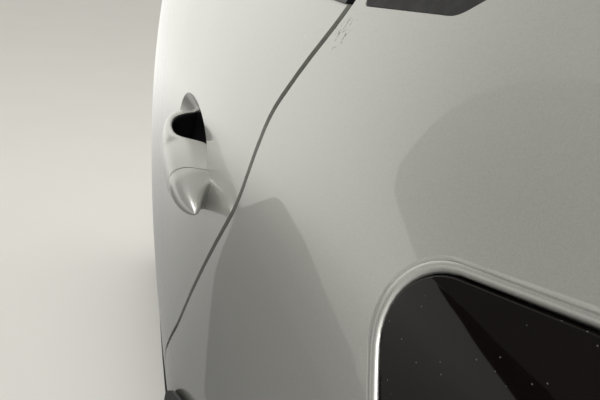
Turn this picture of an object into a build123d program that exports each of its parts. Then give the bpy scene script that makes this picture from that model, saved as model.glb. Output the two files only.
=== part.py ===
from build123d import *
from math import asin, cos, radians, sin, sqrt
import os

os.makedirs("parts", exist_ok=True)

# Left rear side section of a compact crossover: centre pillar, sill, roof rail and quarter panel,
# with the rear door hung on the pillar. +X points to the rear of the car, +Y inboard, +Z up.
# The origin is the middle of the flat inner face of the sill. Lengths are in millimetres.

# Outer body surface: one profile of three tangent arcs, turned about a far upright axis
side_depth = 190          # from the sill's inner face out to the widest line of the side
widest_z = 361            # height of the widest line above the sill's middle
barrel_r = 1967           # lower side, seen from the front
shoulder_r = 409          # turn under the window line
glasshouse_r = 2600       # lean of the windows
shoulder_start = 7.34     # degrees from upright where the shoulder begins
belt_lean = 26.9          # degrees from upright at the window line
plan_r = 7740             # plan curve of the side
plan_x = 60               # where the side is parallel to the car
profile_spare = 80        # profile drawn past the section at its foot and top
plan_turn = 12            # degrees of the plan curve drawn to each side
barrel_steps = 4          # hidden faces are folded in straight steps
shoulder_steps = 2
glasshouse_steps = 3
plan_steps = 8

# Section limits
section_front_x = -330
section_rear_x = 1165
rail_top_z = 1176
sill_half_height = 90
sill_top_z = 60
sill_rear_x = 520
sill_seat = 40            # height of the sill behind the door's foot
side_low = (-600, -400, -200)
side_high = (1300, 420, 1300)

# Panels and gaps
shut_gap = 5.0            # between the door and the body
skin_t = 6                # door skin with its hem
outer_t = 40              # outer side panel, with its flanges
wall_t = 82               # whole side wall
fit = 0.3                 # between pieces that seat on each other
seat = 1.0                # between pieces that drop into a recess
pillar_depth = 60         # centre pillar face behind the door edge
pillar_t = 62
pillar_front_x = -310
pillar_rear_x = -187
pillar_top_shift = 0.85   # share of the door's lean that the pillar follows

# Door outline, seen from the side
door_front_x = -212
door_front_top_x = -132
door_bottom_z = 72
door_top_front_z = 1110
door_top_mid = (250, 1134)
door_top_rear = (592, 1056)
door_belt_rear = (699, 748)
door_shoulder_rear = (673, 680)
door_waist_rear = (672, 622)
door_knee_rear = (560, 428)
door_arch_rear = (420, 246)
door_foot_rear_x = 408
door_edge_inset = 8       # box behind the hem
door_edge_depth = 30
door_deep_inset = 52      # box that enters the opening
door_depth = 76
opening_inset = 34        # body flange behind the door edge

# Joints between the body panels
rail_joint_x = 520
rail_foot_z = 1060
inner_foot_x = 370
bumper_joint_x = 1128

# Windows in the door and in the quarter, whose corners are x, height over the belt, radius
sash_width = 58
sash_sink = 2
glass_t = 4
glass_depth = 8
glass_lap = 11
glass_drop = 58
moulding_height = 16
quarter_window = [(709, 0, 6), (776, 6, 14), (912, 128, 16), (640, 262, 14)]
window_seal = 9
window_lip = 3
seal_sink = 0.5

# Tail lamp opening
lamp_nose = (807, 676)
lamp_nose_r = 27
lamp_brow = (905, 708)
lamp_top_rear = (1215, 752)
lamp_foot_rear = (1215, 510)
lamp_foot = (905, 545)
lamp_gap = 2.5
lamp_rim_r = 3
lamp_rim_low = (790, 480)
lamp_rim_high = (1230, 770)
lens_t = 3.5
lens_sink = 1.0
lamp_tub_t = 6
reflector_t = 8

# Wheel opening, its cladding and the sill's
wheel_x = 890
wheel_z = 45
arch_r = 385
cladding_outer_r = 438
cladding_inner_r = 352
cladding_t = 7
cladding_wall = 3
cladding_drop = 14
liner_t = 3
wheelhouse_depth = 265
flange_y = -70            # pinch flange under the sill
flange_t = 3
flange_h = 20

# Seals
seal_h = 4.5
seal_w = 9
door_seal_h = 4
door_seal_w = 10

# Hinges, latch and striker
hinge_x = door_front_x + 20
hinge_depth = 26
hinge_heights = (190, 560)
knuckle_r = 8
knuckle_h = 26
ear_t = 6
pin_r = 4
leaf_t = 5
leaf_h = 62
leaf_reach = 66
latch_z = 650
latch_depth = 24
striker_reach = 15.5      # from the edge of the body flange to the striker's middle
striker_depth = 22
striker_half_w = 4.5
striker_half_h = 21
loop_half_h = 13
wire_r = 3

# Handle, measured along it from its rear tip and out from the skin
handle_tip = (615, 586)
handle_length = 206
handle_tilt = 1.7         # degrees, rising towards the front
handle_outline = [
    (0, 0, 4), (58, 16, 60), (180, 15, 25), (206, 7, 8), (206, -7, 8), (180, -15, 25), (58, -16, 60),
]
bow_top = (112, 34)
tip_reach = 6
strap_t = 12
cap_length = 52
handle_split = 0.6
finger_start = 50
finger_end = 180
dish_centre = 112
dish_length_r = 190
dish_height_r = 52
dish_depth = 20

# Trim inside the door
trim_t = 22
armrest_x = 150
armrest_z = 470
armrest_length = 330
armrest_reach = 60
pull_length = 130


def arc_centres():
    """Centres (y, z) of the three arcs of the outer profile, from the barrel upwards."""
    first = radians(shoulder_start)
    second = radians(belt_lean)
    barrel = (barrel_r - side_depth, widest_z)
    shoulder = (
        barrel[0] - (barrel_r - shoulder_r) * cos(first),
        barrel[1] + (barrel_r - shoulder_r) * sin(first),
    )
    glasshouse = (
        shoulder[0] + (glasshouse_r - shoulder_r) * cos(second),
        shoulder[1] - (glasshouse_r - shoulder_r) * sin(second),
    )
    return barrel, shoulder, glasshouse


barrel_c, shoulder_c, glasshouse_c = arc_centres()
belt_z = shoulder_c[1] + shoulder_r * sin(radians(belt_lean))
shoulder_z = barrel_c[1] + barrel_r * sin(radians(shoulder_start))
axis_y = plan_r - side_depth


def arc_point(centre, radius, angle):
    return (centre[0] - radius * cos(angle), centre[1] + radius * sin(angle))


def profile_edges(depth, smooth):
    """Arcs (three points) or straight folds (two points) of the side at one depth, from the foot up."""
    spare = profile_spare if smooth else profile_spare + 20
    foot = asin((-sill_half_height - spare - barrel_c[1]) / barrel_r)
    top = asin((rail_top_z + spare - glasshouse_c[1]) / glasshouse_r)
    first = radians(shoulder_start)
    second = radians(belt_lean)
    edges = []
    for centre, radius, low, high, steps in (
        (barrel_c, barrel_r, foot, first, barrel_steps),
        (shoulder_c, shoulder_r, first, second, shoulder_steps),
        (glasshouse_c, glasshouse_r, second, top, glasshouse_steps),
    ):
        if smooth:
            angles = [low, (low + high) / 2, high]
            edges.append([arc_point(centre, radius - depth, a) for a in angles])
        else:
            angles = [low + (high - low) * i / steps for i in range(steps + 1)]
            points = [arc_point(centre, radius - depth, a) for a in angles]
            edges.extend(zip(points, points[1:]))
    return edges


def surface_y(x, z, depth=0):
    """Y of the body surface at one place, at a depth behind the outside."""
    if z < shoulder_z:
        centre, radius = barrel_c, barrel_r
    elif z < belt_z:
        centre, radius = shoulder_c, shoulder_r
    else:
        centre, radius = glasshouse_c, glasshouse_r
    profile_y = centre[0] - sqrt((radius - depth) ** 2 - (z - centre[1]) ** 2)
    return axis_y - sqrt((axis_y - profile_y) ** 2 - (x - plan_x) ** 2)


def plan_point(angle):
    """Point in plan on the reference arc, and the direction from there towards the arc's centre."""
    at = (plan_x + axis_y * sin(angle), axis_y - axis_y * cos(angle), 0)
    return at, (-sin(angle), cos(angle), 0)


def smooth_wall(outer, inner):
    """The side wall between two depths, truly curved on both faces."""
    at, inward = plan_point(radians(-plan_turn))
    with BuildPart() as wall:
        with BuildSketch(Plane(origin=at, x_dir=inward, z_dir=(inward[1], -inward[0], 0))):
            with BuildLine():
                for arc in profile_edges(outer, True) + profile_edges(inner, True):
                    ThreePointArc(*arc)
                Line(profile_edges(outer, True)[0][0], profile_edges(inner, True)[0][0])
                Line(profile_edges(outer, True)[-1][-1], profile_edges(inner, True)[-1][-1])
            make_face()
        revolve(axis=Axis((plan_x, axis_y, 0), (0, 0, 1)), revolution_arc=2 * plan_turn)
    return wall.part


def folded_wall(outer, inner):
    """The side wall between two depths, folded flat between lines on the true surface."""
    turn = plan_turn + 1
    stations = [radians(-turn + 2 * turn * i / plan_steps) for i in range(plan_steps + 1)]
    at, inward = plan_point(stations[0])
    level = plan_point((stations[0] + stations[1]) / 2)[1]
    outside = profile_edges(outer, False)
    inside = profile_edges(inner, False)
    with BuildPart() as wall:
        with BuildLine() as path:
            Polyline(*[plan_point(angle)[0] for angle in stations])
        with BuildSketch(Plane(origin=at, x_dir=level, z_dir=(level[1], -level[0], 0))):
            with BuildLine():
                Polyline(outside[0][0], *[edge[1] for edge in outside])
                Polyline(inside[0][0], *[edge[1] for edge in inside])
                Line(outside[0][0], inside[0][0])
                Line(outside[-1][1], inside[-1][1])
            make_face()
        sweep(path=path.line, transition=Transition.RIGHT)
    return wall.part


def half_smooth_wall(outer, inner):
    """The side wall between two depths, curved outside and folded inside."""
    with BuildPart() as wall:
        add(smooth_wall(outer, inner + 20))
        add(folded_wall(inner, inner + 60), mode=Mode.SUBTRACT)
    return wall.part


def side_prism(corners, grow=0):
    """Prism across the car from corners (x, z, radius), grown or shrunk all round."""
    with BuildPart() as prism:
        with BuildSketch(Plane.XZ.offset(-side_high[1])):
            with BuildLine():
                FilletPolyline(
                    *[(x, z) for x, z, radius in corners],
                    radius=[radius for x, z, radius in corners],
                    close=True,
                )
            make_face()
            if grow:
                offset(amount=grow, kind=Kind.INTERSECTION)
        extrude(amount=side_high[1] - side_low[1])
    return prism.part


def box_between(low, high):
    """Box from its lowest to its highest corner."""
    size = [b - a for a, b in zip(low, high)]
    return Pos(*[(a + b) / 2 for a, b in zip(low, high)]) * Box(*size, mode=Mode.PRIVATE)


def side_box(x_low=None, x_high=None, z_low=None, z_high=None):
    """Box right across the section, limited only on the sides that are given."""
    low = [side_low[0] if x_low is None else x_low, side_low[1], side_low[2] if z_low is None else z_low]
    high = [
        side_high[0] if x_high is None else x_high,
        side_high[1],
        side_high[2] if z_high is None else z_high,
    ]
    return box_between(low, high)


def disc(radius, y_low=side_low[1], y_high=side_high[1]):
    """Cylinder across the car at the wheel's centre."""
    drum = Cylinder(radius, y_high - y_low, rotation=(90, 0, 0), mode=Mode.PRIVATE)
    return Pos(wheel_x, (y_low + y_high) / 2, wheel_z) * drum


def upright(x, y, z, radius, height):
    """Upright cylinder centred on a point."""
    return Pos(x, y, z) * Cylinder(radius, height, mode=Mode.PRIVATE)


def rim_edges(part, low, high, depth=0):
    """Cut edges of a piece on one smooth surface of the body, inside a box, without the level seams."""
    found = []
    for edge in part.edges():
        places = [edge @ 0.1, edge @ 0.5, edge @ 0.9]
        on_surface = all(abs(p.Y - surface_y(p.X, p.Z, depth)) < 0.05 for p in places)
        inside = all(low[0] < p.X < high[0] and low[1] < p.Z < high[1] for p in places)
        level = max(p.Z for p in places) - min(p.Z for p in places) < 0.01
        seam = level and min(abs(places[0].Z - z) for z in (shoulder_z, belt_z)) < 0.5
        if on_surface and inside and not seam:
            found.append(edge)
    return found


# Corners of the door as x, z, corner radius, from the front foot round by the roof
door_corners = [
    (door_front_x, door_bottom_z, 30),
    (door_front_x, belt_z - 60, 400),
    (door_front_top_x, door_top_front_z, 45),
    (*door_top_mid, 900),
    (*door_top_rear, 40),
    (*door_belt_rear, 60),
    (*door_shoulder_rear, 60),
    (*door_waist_rear, 70),
    (*door_knee_rear, 500),
    (*door_arch_rear, 250),
    (door_foot_rear_x, door_bottom_z, 30),
]
door_prism = side_prism(door_corners)
outer_opening = side_prism(door_corners, grow=shut_gap)
inner_opening = side_prism(door_corners, grow=-opening_inset)

# Corners of the quarter panel, with the edge of the tailgate opening
quarter_corners = [
    (door_foot_rear_x + shut_gap, sill_top_z, 1),
    (door_foot_rear_x + shut_gap, 200, 1),
    (rail_joint_x, belt_z + 15, 1),
    (rail_joint_x, rail_top_z, 1),
    (870, rail_top_z - 14, 30),
    (section_rear_x - 10, 792, 60),
    (section_rear_x, 640, 200),
    (section_rear_x, 430, 20),
    (bumper_joint_x, 350, 1),
    (bumper_joint_x, 250, 1),
    (sill_rear_x, sill_top_z, 1),
]
quarter_inner_corners = [
    (inner_foot_x, sill_top_z, 1),
    (inner_foot_x, 330, 1),
    *quarter_corners[2:],
]
lamp_corners = [
    (*lamp_nose, lamp_nose_r),
    (*lamp_brow, 300),
    (*lamp_top_rear, 10),
    (*lamp_foot_rear, 10),
    (*lamp_foot, 34),
]
window_corners = [(x, belt_z + up, radius) for x, up, radius in quarter_window]
lamp_prism = side_prism(lamp_corners)
window_prism = side_prism(window_corners)

# Outer sheet of the whole side, with the rolled rim of the lamp opening
with BuildPart() as side_sheet:
    add(smooth_wall(0, outer_t + 20))
    add(lamp_prism, mode=Mode.SUBTRACT)
    fillet(rim_edges(side_sheet.part, lamp_rim_low, lamp_rim_high), lamp_rim_r)
    add(folded_wall(outer_t, outer_t + 60), mode=Mode.SUBTRACT)
    add(outer_opening, mode=Mode.SUBTRACT)

# Quarter panel: the sheet with its flanges, from the door gap to the tailgate edge
with BuildPart() as quarter_panel:
    add(side_sheet.part)
    add(side_prism(quarter_corners), mode=Mode.INTERSECT)
    add(window_prism, mode=Mode.SUBTRACT)
    add(disc(arch_r), mode=Mode.SUBTRACT)
quarter_panel.part.label = "quarter_panel"
export_step(quarter_panel.part, "parts/quarter_panel.step")

# Inner quarter panel: closes the lamp pocket and carries the door seal and striker
with BuildPart() as quarter_inner:
    add(folded_wall(outer_t, wall_t))
    add(side_prism(quarter_inner_corners), mode=Mode.INTERSECT)
    add(inner_opening, mode=Mode.SUBTRACT)
    add(window_prism, mode=Mode.SUBTRACT)
    add(disc(arch_r), mode=Mode.SUBTRACT)
quarter_inner.part.label = "quarter_inner"
export_step(quarter_inner.part, "parts/quarter_inner.step")

# Roof rail over the door, with the step of the front door's opening
rail_prism = side_prism([
    (section_front_x, rail_foot_z, 1),
    (section_front_x, rail_top_z, 1),
    (rail_joint_x, rail_top_z, 1),
    (rail_joint_x, rail_foot_z - 20, 1),
    (door_front_top_x + 40, rail_foot_z - 20, 1),
    (door_front_top_x + 30, rail_foot_z, 1),
])
front_opening = side_prism([
    (section_front_x - 20, rail_foot_z - 60, 1),
    (section_front_x - 20, door_top_front_z - 6, 1),
    (door_front_top_x - 12, door_top_front_z - 6, 20),
    (door_front_top_x - 40, rail_foot_z - 60, 1),
])
with BuildPart() as rail_outer:
    add(side_sheet.part)
    add(rail_prism, mode=Mode.INTERSECT)
    add(front_opening, mode=Mode.SUBTRACT)
with BuildPart() as rail_inner:
    add(folded_wall(outer_t, wall_t))
    add(rail_prism, mode=Mode.INTERSECT)
    add(inner_opening, mode=Mode.SUBTRACT)
with BuildPart() as roof_rail:
    add(rail_outer.part)
    add(rail_inner.part)
roof_rail.part.label = "roof_rail"
export_step(roof_rail.part, "parts/roof_rail.step")

# Centre pillar, set back behind the door's front edge
pillar_foot_z = sill_top_z + sill_seat
top_shift = pillar_top_shift * (door_front_top_x - door_front_x)
pillar_prism = side_prism([
    (pillar_front_x, pillar_foot_z, 1),
    (pillar_front_x, belt_z - 60, 400),
    (pillar_front_x + top_shift, rail_foot_z, 1),
    (pillar_rear_x + top_shift, rail_foot_z, 1),
    (pillar_rear_x, belt_z - 60, 400),
    (pillar_rear_x, pillar_foot_z, 1),
])
with BuildPart() as centre_pillar:
    add(folded_wall(pillar_depth, pillar_depth + pillar_t))
    add(pillar_prism, mode=Mode.INTERSECT)
centre_pillar.part.label = "centre_pillar"
export_step(centre_pillar.part, "parts/centre_pillar.step")

# Sill: closed box whose flat inner face is the origin, with the step that takes the seal
with BuildPart() as sill:
    add(folded_wall(outer_t, side_depth + 20))
    add(
        box_between(
            (section_front_x, side_low[1], -sill_half_height),
            (sill_rear_x, 0, sill_top_z + sill_seat),
        ),
        mode=Mode.INTERSECT,
    )
    add(side_box(x_low=inner_foot_x, z_low=sill_top_z), mode=Mode.SUBTRACT)
    add(inner_opening, mode=Mode.SUBTRACT)
    add(
        box_between(
            (section_front_x, flange_y, -sill_half_height - flange_h),
            (sill_rear_x, flange_y + flange_t, -sill_half_height),
        )
    )
sill.part.label = "sill"
export_step(sill.part, "parts/sill.step")

# Plastic sill cladding: face, top return and bottom return
cover_low_z = -sill_half_height - cladding_drop
cover_rear_x = sill_rear_x + 16
with BuildPart() as cover_face:
    add(half_smooth_wall(-cladding_t, -cladding_t + cladding_wall))
    add(side_box(section_front_x, cover_rear_x, cover_low_z, sill_top_z + cladding_wall), mode=Mode.INTERSECT)
with BuildPart() as cover_returns:
    add(half_smooth_wall(-cladding_t, outer_t - fit))
    add(
        side_box(
            section_front_x, door_foot_rear_x + shut_gap - fit, sill_top_z, sill_top_z + cladding_wall
        )
        + side_box(section_front_x, cover_rear_x, cover_low_z, cover_low_z + cladding_wall),
        mode=Mode.INTERSECT,
    )
with BuildPart() as sill_cladding:
    add(cover_face.part)
    add(cover_returns.part)
    add(disc(cladding_inner_r), mode=Mode.SUBTRACT)
sill_cladding.part.label = "sill_cladding"
export_step(sill_cladding.part, "parts/sill_cladding.step")

# Wheel arch cladding: flared ring with a return into the wheel opening
ring_limits = side_box(x_high=bumper_joint_x, z_low=sill_top_z + cladding_wall + fit)
with BuildPart() as ring_face:
    add(smooth_wall(-cladding_t, -cladding_t + cladding_wall))
    add(disc(cladding_outer_r), mode=Mode.INTERSECT)
    add(ring_limits, mode=Mode.INTERSECT)
with BuildPart() as ring_return:
    add(half_smooth_wall(-cladding_t, outer_t - 8))
    add(disc(cladding_inner_r + cladding_wall), mode=Mode.INTERSECT)
    add(ring_limits, mode=Mode.INTERSECT)
with BuildPart() as arch_cladding:
    add(ring_face.part)
    add(ring_return.part)
    add(disc(cladding_inner_r), mode=Mode.SUBTRACT)
arch_cladding.part.label = "arch_cladding"
export_step(arch_cladding.part, "parts/arch_cladding.step")

# Wheelhouse: drum over the wheel with its inner wall
wheelhouse_y = -side_depth + wheelhouse_depth
with BuildPart() as wheelhouse:
    add(disc(arch_r - fit, -side_depth + 20, wheelhouse_y))
    add(disc(arch_r - fit - liner_t, -side_depth, wheelhouse_y - liner_t), mode=Mode.SUBTRACT)
    add(side_box(x_high=bumper_joint_x, z_low=sill_top_z + cladding_wall + fit), mode=Mode.INTERSECT)
    add(folded_wall(-120, outer_t / 2), mode=Mode.SUBTRACT)
wheelhouse.part.label = "wheelhouse"
export_step(wheelhouse.part, "parts/wheelhouse.step")

# Quarter glass and the black seal round it
with BuildPart() as quarter_glass:
    add(half_smooth_wall(glass_depth, glass_depth + glass_t))
    add(side_prism(window_corners, grow=-window_lip), mode=Mode.INTERSECT)
quarter_glass.part.label = "quarter_glass"
export_step(quarter_glass.part, "parts/quarter_glass.step")

with BuildPart() as quarter_glass_seal:
    add(smooth_wall(seal_sink, glass_depth - fit))
    add(side_prism(window_corners, grow=-fit), mode=Mode.INTERSECT)
    add(side_prism(window_corners, grow=-window_seal), mode=Mode.SUBTRACT)
quarter_glass_seal.part.label = "quarter_glass_seal"
export_step(quarter_glass_seal.part, "parts/quarter_glass_seal.step")

# Tail lamp: smoked lens, tub-shaped housing, inner reflector
lens_back = lens_sink + lens_t
tub_floor = outer_t - lamp_tub_t
with BuildPart() as tail_lamp_lens:
    add(smooth_wall(lens_sink, lens_back))
    add(side_prism(lamp_corners, grow=-lamp_gap), mode=Mode.INTERSECT)
    add(side_box(x_high=section_rear_x - 2), mode=Mode.INTERSECT)
tail_lamp_lens.part.label = "tail_lamp_lens"
export_step(tail_lamp_lens.part, "parts/tail_lamp_lens.step")

with BuildPart() as lamp_hollow:
    add(folded_wall(lens_back - 2 * lamp_tub_t, tub_floor))
    add(side_prism(lamp_corners, grow=-lamp_gap - lamp_tub_t), mode=Mode.INTERSECT)
    add(side_box(x_high=section_rear_x - 2 - lamp_tub_t), mode=Mode.INTERSECT)
with BuildPart() as tail_lamp_housing:
    add(half_smooth_wall(lens_back + fit, outer_t - fit))
    add(side_prism(lamp_corners, grow=-fit), mode=Mode.INTERSECT)
    add(side_box(x_high=section_rear_x - 2), mode=Mode.INTERSECT)
    add(lamp_hollow.part, mode=Mode.SUBTRACT)
tail_lamp_housing.part.label = "tail_lamp_housing"
export_step(tail_lamp_housing.part, "parts/tail_lamp_housing.step")

with BuildPart() as tail_lamp_reflector:
    add(folded_wall(tub_floor - reflector_t, tub_floor - fit))
    add(side_prism(lamp_corners, grow=-lamp_gap - lamp_tub_t - 3), mode=Mode.INTERSECT)
    add(side_box(x_high=section_rear_x - 4 - lamp_tub_t), mode=Mode.INTERSECT)
tail_lamp_reflector.part.label = "tail_lamp_reflector"
export_step(tail_lamp_reflector.part, "parts/tail_lamp_reflector.step")

# Striker on the body flange: plate with a wire loop
striker_x = door_waist_rear[0] - opening_inset + striker_reach
striker_y = surface_y(striker_x, latch_z, outer_t)
loop_y = surface_y(striker_x, latch_z, striker_depth)
striker_plate = box_between(
    (striker_x - striker_half_w, striker_y - 3.5, latch_z - striker_half_h),
    (striker_x + striker_half_w, striker_y + 6, latch_z + striker_half_h),
)
with BuildPart() as striker:
    add(striker_plate)
    for side in (-1, 1):
        add(box_between(
            (striker_x - wire_r, loop_y, latch_z + side * loop_half_h - wire_r),
            (striker_x + wire_r, striker_y - 3, latch_z + side * loop_half_h + wire_r),
        ))
    add(box_between(
        (striker_x - wire_r, loop_y, latch_z - loop_half_h),
        (striker_x + wire_r, loop_y + 2 * wire_r, latch_z + loop_half_h),
    ))
    add(folded_wall(outer_t - fit, outer_t + 20), mode=Mode.SUBTRACT)
striker.part.label = "striker"
export_step(striker.part, "parts/striker.step")

# Door seal on the body, on the flange and, deeper, on the centre pillar
seal_turn_x = pillar_rear_x + 8
seal_ring = side_prism(door_corners, grow=-opening_inset + seal_w)
with BuildPart() as seal_flange:
    add(folded_wall(outer_t - seal_h, outer_t - fit))
    add(side_box(x_low=seal_turn_x), mode=Mode.INTERSECT)
with BuildPart() as seal_pillar:
    add(folded_wall(pillar_depth - seal_h, pillar_depth - fit))
    add(side_box(x_high=seal_turn_x + 5), mode=Mode.INTERSECT)
with BuildPart() as seal_turn:
    add(folded_wall(outer_t - seal_h, pillar_depth - fit))
    add(side_box(x_low=seal_turn_x, x_high=seal_turn_x + 5), mode=Mode.INTERSECT)
with BuildPart() as opening_seal:
    add(seal_flange.part)
    add(seal_pillar.part)
    add(seal_turn.part)
    add(seal_ring, mode=Mode.INTERSECT)
    add(inner_opening, mode=Mode.SUBTRACT)
    add(roof_rail.part, mode=Mode.SUBTRACT)
    add(sill.part, mode=Mode.SUBTRACT)
    add(striker_plate, mode=Mode.SUBTRACT)
opening_seal.part.label = "opening_seal"
export_step(opening_seal.part, "parts/opening_seal.step")

# Handle planes: along the handle towards the front, outward from the skin and up
handle_y = surface_y(*handle_tip)
turn_angle = asin((handle_tip[0] - handle_length / 2 - plan_x) / (axis_y - handle_y))
lean_angle = asin((handle_tip[1] + 10 - widest_z) / barrel_r)
ahead = Vector(-cos(turn_angle), -sin(turn_angle), 0)
outward = Vector(
    sin(turn_angle) * cos(lean_angle), -cos(turn_angle) * cos(lean_angle), sin(lean_angle)
)
along = ahead.rotate(Axis((0, 0, 0), outward), -handle_tilt)
upward = along.cross(outward)
handle_foot = Vector(handle_tip[0], handle_y, handle_tip[1])
handle_plan = Plane(origin=handle_foot, x_dir=along, z_dir=upward)
handle_side = Plane(origin=handle_foot, x_dir=along, z_dir=-outward)

# Pressed dish behind the handle: part of a ring whose bottom is the dish's depth under the skin
dish_half = sqrt(dish_length_r ** 2 - (dish_length_r - dish_depth) ** 2)
dish_middle = handle_foot + along * dish_centre + outward * (dish_height_r - dish_depth)
dish_axis_at = handle_foot + along * dish_centre + outward * (dish_length_r - dish_depth)
with BuildPart() as dish:
    with BuildSketch(Plane(origin=dish_middle, x_dir=outward, z_dir=along)):
        Circle(dish_height_r)
    revolve(axis=Axis(dish_axis_at, upward), revolution_arc=360)
with BuildPart() as dish_boss:
    with BuildSketch(handle_side):
        with Locations((dish_centre, 0)):
            SlotOverall(2 * dish_half + 16, 2 * dish_height_r - 10)
    extrude(amount=80, both=True)
    add(folded_wall(skin_t - seat, dish_depth + 4), mode=Mode.INTERSECT)
with BuildPart() as dish_room:
    with BuildSketch(handle_side):
        with Locations((dish_centre, 0)):
            SlotOverall(2 * dish_half + 18, 2 * dish_height_r - 8)
    extrude(amount=80, both=True)
    add(folded_wall(skin_t - seat, dish_depth + 4 + fit), mode=Mode.INTERSECT)

# Latch in the door's rear edge
latch_half_w = 10.5
latch_half_h = 26
latch_box = side_box(
    striker_x - latch_half_w, striker_x + latch_half_w, latch_z - latch_half_h, latch_z + latch_half_h
)
latch_space = side_box(
    striker_x - latch_half_w - fit,
    striker_x + latch_half_w + fit,
    latch_z - latch_half_h - fit,
    latch_z + latch_half_h + fit,
)
with BuildPart() as striker_room:
    add(folded_wall(9, door_edge_depth + 5))
    add(
        side_box(striker_x - 8, striker_x + 8, latch_z - loop_half_h - 9, latch_z + loop_half_h + 9),
        mode=Mode.INTERSECT,
    )
with BuildPart() as door_latch:
    add(folded_wall(skin_t + 1 + fit, latch_depth))
    add(latch_box, mode=Mode.INTERSECT)
    add(striker_room.part, mode=Mode.SUBTRACT)
door_latch.part.label = "door_latch"
export_step(door_latch.part, "parts/door_latch.step")

# Door frame: edge pressing with sash, deep box at the hinges and a service opening under the trim
shut_face_x = door_front_x + door_deep_inset
with BuildPart() as frame_edge:
    add(folded_wall(skin_t + fit, door_edge_depth))
    add(side_prism(door_corners, grow=-door_edge_inset), mode=Mode.INTERSECT)
    add(side_box(x_high=shut_face_x, z_high=belt_z - 40), mode=Mode.SUBTRACT)
with BuildPart() as frame_deep:
    add(folded_wall(door_edge_depth, door_depth))
    add(side_prism(door_corners, grow=-door_deep_inset), mode=Mode.INTERSECT)
with BuildPart() as sash_lip:
    add(half_smooth_wall(sash_sink, skin_t + fit))
    add(door_prism, mode=Mode.INTERSECT)
    add(side_box(z_low=belt_z), mode=Mode.INTERSECT)
with BuildPart() as service_hole:
    add(folded_wall(door_edge_depth / 2, door_depth + 5))
    add(side_prism(door_corners, grow=-door_deep_inset - 34), mode=Mode.INTERSECT)
    add(side_box(x_low=shut_face_x + 34, z_high=belt_z - 60), mode=Mode.INTERSECT)
with BuildPart() as glass_slot:
    add(half_smooth_wall(glass_depth - fit, glass_depth + glass_t + fit))
    add(side_prism(door_corners, grow=-sash_width + glass_lap + seat), mode=Mode.INTERSECT)
    add(side_box(z_low=belt_z - glass_drop - 2), mode=Mode.INTERSECT)
with BuildPart() as window_cut:
    add(side_prism(door_corners, grow=-sash_width))
    add(side_box(z_low=belt_z + moulding_height - 2), mode=Mode.INTERSECT)
with BuildPart() as moulding_space:
    add(smooth_wall(-5, glass_depth))
    add(
        side_box(z_low=belt_z - glass_drop - 2, z_high=belt_z + moulding_height + fit),
        mode=Mode.INTERSECT,
    )
with BuildPart() as latch_pocket:
    add(folded_wall(skin_t + 1, door_edge_depth + 1))
    add(latch_space, mode=Mode.INTERSECT)
with BuildPart() as door_frame:
    add(frame_edge.part)
    add(frame_deep.part)
    add(sash_lip.part)
    add(service_hole.part, mode=Mode.SUBTRACT)
    add(glass_slot.part, mode=Mode.SUBTRACT)
    add(window_cut.part, mode=Mode.SUBTRACT)
    add(moulding_space.part, mode=Mode.SUBTRACT)
    add(dish_room.part, mode=Mode.SUBTRACT)
    add(latch_pocket.part, mode=Mode.SUBTRACT)
door_frame.part.label = "door_frame"
export_step(door_frame.part, "parts/door_frame.step")

# Door skin with its hem, its rolled edge and the pressed dish
with BuildPart() as door_skin:
    add(half_smooth_wall(0, skin_t))
    add(door_prism, mode=Mode.INTERSECT)
    add(side_box(z_high=belt_z - seat - fit), mode=Mode.INTERSECT)
    add(glass_slot.part, mode=Mode.SUBTRACT)
    add(dish_boss.part)
    add(dish.part, mode=Mode.SUBTRACT)
door_skin.part.label = "door_skin"
export_step(door_skin.part, "parts/door_skin.step")

# Door glass and the moulding at the window line
with BuildPart() as door_glass:
    add(half_smooth_wall(glass_depth, glass_depth + glass_t))
    add(side_prism(door_corners, grow=-sash_width + glass_lap), mode=Mode.INTERSECT)
    add(side_box(z_low=belt_z - glass_drop), mode=Mode.INTERSECT)
door_glass.part.label = "door_glass"
export_step(door_glass.part, "parts/door_glass.step")

with BuildPart() as belt_moulding:
    add(smooth_wall(-1, glass_depth - fit))
    add(side_prism(door_corners, grow=-seat), mode=Mode.INTERSECT)
    add(side_box(z_low=belt_z - seat, z_high=belt_z + moulding_height), mode=Mode.INTERSECT)
belt_moulding.part.label = "belt_moulding"
export_step(belt_moulding.part, "parts/belt_moulding.step")

# Seal on the door's own edge
with BuildPart() as door_seal:
    add(folded_wall(door_edge_depth + fit, door_edge_depth + door_seal_h))
    add(side_prism(door_corners, grow=-door_edge_inset - 2), mode=Mode.INTERSECT)
    add(side_prism(door_corners, grow=-door_edge_inset - 2 - door_seal_w), mode=Mode.SUBTRACT)
    add(side_box(x_low=shut_face_x + 2), mode=Mode.INTERSECT)
    add(latch_space, mode=Mode.SUBTRACT)
door_seal.part.label = "door_seal"
export_step(door_seal.part, "parts/door_seal.step")

# Trim panel inside the door, with its armrest and pull pocket
trim_face = door_depth + trim_t
with BuildPart() as door_trim:
    add(folded_wall(door_depth + fit, trim_face))
    add(side_prism(door_corners, grow=-door_deep_inset - 4), mode=Mode.INTERSECT)
    add(side_box(x_low=shut_face_x + 4, z_high=belt_z + 6), mode=Mode.INTERSECT)
door_trim.part.label = "door_trim"
export_step(door_trim.part, "parts/door_trim.step")

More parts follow.
